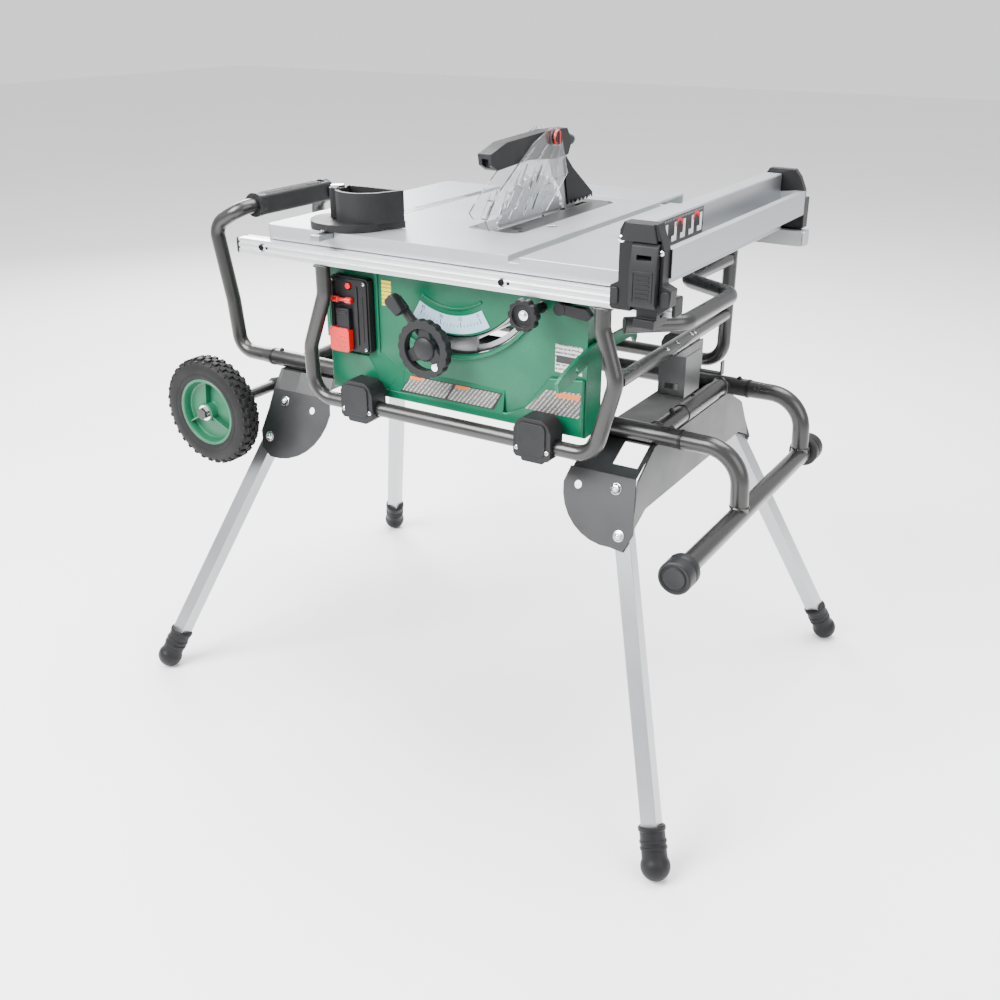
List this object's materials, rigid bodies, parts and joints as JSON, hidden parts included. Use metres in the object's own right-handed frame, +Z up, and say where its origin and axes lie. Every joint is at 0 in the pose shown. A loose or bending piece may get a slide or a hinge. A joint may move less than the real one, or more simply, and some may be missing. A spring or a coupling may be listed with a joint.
{
  "type": "jobsite table saw",
  "caption": "Portable table saw in a tubular roll cage on a wheeled folding stand, with rack-driven fence rails, tilting blade, guard and miter gauge.",
  "frame": {"origin": "on the floor, under the middle of the stand's four feet", "axes": "+X to the operator's right along the front rail, +Y to the back, +Z up"},
  "size_m": [1.1668, 0.915, 1.066],
  "materials": {
    "frame_paint": "semi-gloss metallic charcoal paint",
    "grip_plastic": "fine textured black",
    "leg_aluminium": "satin anodised",
    "foot_rubber": "matte black",
    "green_plastic": "satin green moulded plastic",
    "tyre_rubber": "knobbly matte black",
    "table_cast": "coated cast aluminium, smooth",
    "rail_aluminium": "satin anodised extrusion",
    "machine_steel": "brushed",
    "blade_steel": "ground steel",
    "clear_plastic": "clear polycarbonate",
    "red_plastic": "gloss red"
  },
  "bodies": {
    "stand": {"stand_frame": "frame_paint", "handle_tube": "frame_paint", "handle_grip": "grip_plastic", "foot_bar": "frame_paint", "foot_bar_cap_front": "grip_plastic", "foot_bar_cap_rear": "grip_plastic", "leg_bracket_left": "frame_paint", "leg_bracket_right": "frame_paint", "wheel_frame": "frame_paint", "cage_front": "frame_paint", "cage_rear": "frame_paint", "storage_bracket": "frame_paint", "cage_clamp_front_left": "grip_plastic", "cage_clamp_front_right": "grip_plastic", "cage_clamp_rear_left": "grip_plastic", "cage_clamp_rear_right": "grip_plastic", "saw_housing": "green_plastic", "table_top": "table_cast", "throat_plate": "machine_steel", "rear_extension": "rail_aluminium", "switch_box": "grip_plastic"},
    "rails": {"front_rail": "rail_aluminium", "rear_rail": "rail_aluminium", "fence_beam": "rail_aluminium", "fence_front_bracket": "grip_plastic", "fence_rear_bracket": "grip_plastic"},
    "latch_lever": {"fence_latch_lever": "grip_plastic"},
    "flip_fence": {"flip_fence": "rail_aluminium"},
    "rail_knob": {"rail_knob": "grip_plastic"},
    "rail_lock_lever": {"rail_lock_lever": "grip_plastic"},
    "carriage": {"bevel_carriage": "machine_steel"},
    "cutting_unit": {"motor_unit": "grip_plastic", "riving_knife": "blade_steel", "guard_arm": "grip_plastic"},
    "blade": {"saw_blade": "blade_steel"},
    "shield_left": {"guard_shield_left": "clear_plastic"},
    "shield_right": {"guard_shield_right": "clear_plastic"},
    "pawls": {"kickback_pawls": "blade_steel"},
    "handwheel": {"handwheel": "grip_plastic"},
    "bevel_lock_lever": {"bevel_lock_lever": "grip_plastic"},
    "reset_button": {"reset_button": "red_plastic"},
    "toggle_switch": {"toggle_switch": "red_plastic"},
    "stop_paddle": {"stop_paddle": "red_plastic"},
    "miter_bar": {"miter_bar": "machine_steel"},
    "miter_head": {"miter_head": "grip_plastic"},
    "miter_knob": {"miter_knob": "grip_plastic"},
    "push_stick": {"push_stick": "green_plastic"},
    "wheel_front": {"wheel_rim_front": "green_plastic", "wheel_tyre_front": "tyre_rubber"},
    "leg_front_left": {"leg_front_left": "leg_aluminium", "leg_foot_front_left": "foot_rubber"},
    "leg_front_right": {"leg_front_right": "leg_aluminium", "leg_foot_front_right": "foot_rubber"},
    "wheel_rear": {"wheel_rim_rear": "green_plastic", "wheel_tyre_rear": "tyre_rubber"},
    "leg_rear_left": {"leg_rear_left": "leg_aluminium", "leg_foot_rear_left": "foot_rubber"},
    "leg_rear_right": {"leg_rear_right": "leg_aluminium", "leg_foot_rear_right": "foot_rubber"}
  },
  "joints": [
    {"name": "fold_leg_front_left", "type": "hinge", "parent": "stand", "child": "leg_front_left", "pos_m": [-0.368, -0.176, 0.548], "axis": [0, -0.926, 0.3775], "range_deg": [0, 108]},
    {"name": "fold_leg_front_right", "type": "hinge", "parent": "stand", "child": "leg_front_right", "pos_m": [0.368, -0.22, 0.548], "axis": [0, 0.926, -0.3775], "range_deg": [0, 108]},
    {"name": "fold_leg_rear_left", "type": "hinge", "parent": "stand", "child": "leg_rear_left", "pos_m": [-0.368, 0.176, 0.548], "axis": [0, -0.926, -0.3775], "range_deg": [0, 108]},
    {"name": "fold_leg_rear_right", "type": "hinge", "parent": "stand", "child": "leg_rear_right", "pos_m": [0.368, 0.22, 0.548], "axis": [0, 0.926, 0.3775], "range_deg": [0, 108]},
    {"name": "wheel_spin_front", "type": "hinge", "parent": "stand", "child": "wheel_front", "pos_m": [-0.478, -0.2755, 0.542], "axis": [0, 1, 0], "continuous": true},
    {"name": "wheel_spin_rear", "type": "hinge", "parent": "stand", "child": "wheel_rear", "pos_m": [-0.478, 0.2755, 0.542], "axis": [0, 1, 0], "continuous": true},
    {"name": "rail_travel", "type": "slide", "parent": "stand", "child": "rails", "axis": [1, 0, 0], "range_m": [0, 0.559]},
    {"name": "rail_knob_turn", "type": "hinge", "parent": "stand", "child": "rail_knob", "pos_m": [0.235, -0.3, 0.836], "axis": [0, 1, 0], "range_deg": [0, 2700]},
    {"name": "rail_lock", "type": "hinge", "parent": "stand", "child": "rail_lock_lever", "pos_m": [0.282, -0.276, 0.846], "axis": [0, 1, 0], "range_deg": [0, 60]},
    {"name": "fence_latch", "type": "hinge", "parent": "rails", "child": "latch_lever", "pos_m": [0.44, -0.3242, 0.962], "axis": [-1, 0, 0], "range_deg": [0, 60]},
    {"name": "flip_fence_turn", "type": "hinge", "parent": "rails", "child": "flip_fence", "pos_m": [0.409, -0.02, 0.94], "axis": [0, -1, 0], "range_deg": [0, 180]},
    {"name": "bevel_tilt", "type": "hinge", "parent": "stand", "child": "carriage", "pos_m": [0.066, 0, 0.916], "axis": [0, -1, 0], "range_deg": [0, 45]},
    {"name": "blade_height", "type": "slide", "parent": "carriage", "child": "cutting_unit", "axis": [0, 0, 1], "range_m": [-0.079, 0]},
    {"name": "handwheel_turn", "type": "hinge", "parent": "carriage", "child": "handwheel", "pos_m": [0.04589, -0.3, 0.75223], "axis": [0, 1, 0], "range_deg": [-5761, 0]},
    {"name": "bevel_lock", "type": "hinge", "parent": "carriage", "child": "bevel_lock_lever", "pos_m": [0.04589, -0.282, 0.75223], "axis": [0, 1, 0], "range_deg": [0, 30]},
    {"name": "blade_spin", "type": "hinge", "parent": "cutting_unit", "child": "blade", "pos_m": [0.066, 0.004, 0.8675], "axis": [1, 0, 0], "continuous": true},
    {"name": "shield_left_lift", "type": "hinge", "parent": "cutting_unit", "child": "shield_left", "pos_m": [0.0505, 0.052, 1.05], "axis": [-1, 0, 0], "range_deg": [0, 95]},
    {"name": "shield_right_lift", "type": "hinge", "parent": "cutting_unit", "child": "shield_right", "pos_m": [0.0815, 0.052, 1.05], "axis": [-1, 0, 0], "range_deg": [0, 95]},
    {"name": "pawl_lift", "type": "hinge", "parent": "cutting_unit", "child": "pawls", "pos_m": [0.066, 0.12, 1], "axis": [1, 0, 0], "range_deg": [0, 72]},
    {"name": "reset_press", "type": "slide", "parent": "stand", "child": "reset_button", "axis": [0, 1, 0], "range_m": [0, 0.003], "stiffness_N_per_m": 400},
    {"name": "toggle_rock", "type": "hinge", "parent": "stand", "child": "toggle_switch", "pos_m": [-0.145, -0.2718, 0.802], "axis": [1, 0, 0], "range_deg": [0, 20]},
    {"name": "paddle_swing", "type": "hinge", "parent": "stand", "child": "stop_paddle", "pos_m": [-0.141, -0.271, 0.788], "axis": [-1, 0, 0], "range_deg": [0, 30]},
    {"name": "miter_travel", "type": "slide", "parent": "stand", "child": "miter_bar", "axis": [0, 1, 0], "range_m": [-0.12, 0.3]},
    {"name": "miter_turn", "type": "hinge", "parent": "miter_bar", "child": "miter_head", "pos_m": [-0.159, -0.214, 0.92], "axis": [0, 0, 1], "range_deg": [-60, 60]},
    {"name": "miter_knob_turn", "type": "hinge", "parent": "miter_head", "child": "miter_knob", "pos_m": [-0.181, -0.222, 0.95], "axis": [0, 0, 1], "range_deg": [0, 360]},
    {"name": "push_stick_pull", "type": "slide", "parent": "stand", "child": "push_stick", "axis": [0, -1, 0], "range_m": [0, 0.25]}
  ],
  "couplings": [
    {"joint": "rail_knob_turn", "follows": "rail_travel", "rad_per_m": 83.333},
    {"joint": "handwheel_turn", "follows": "blade_height", "rad_per_m": 1272.5},
    {"joint": "shield_left_lift", "follows": "blade_height", "rad_per_m": -20.988},
    {"joint": "shield_right_lift", "follows": "blade_height", "rad_per_m": -20.988},
    {"joint": "pawl_lift", "follows": "blade_height", "rad_per_m": -15.907}
  ]
}
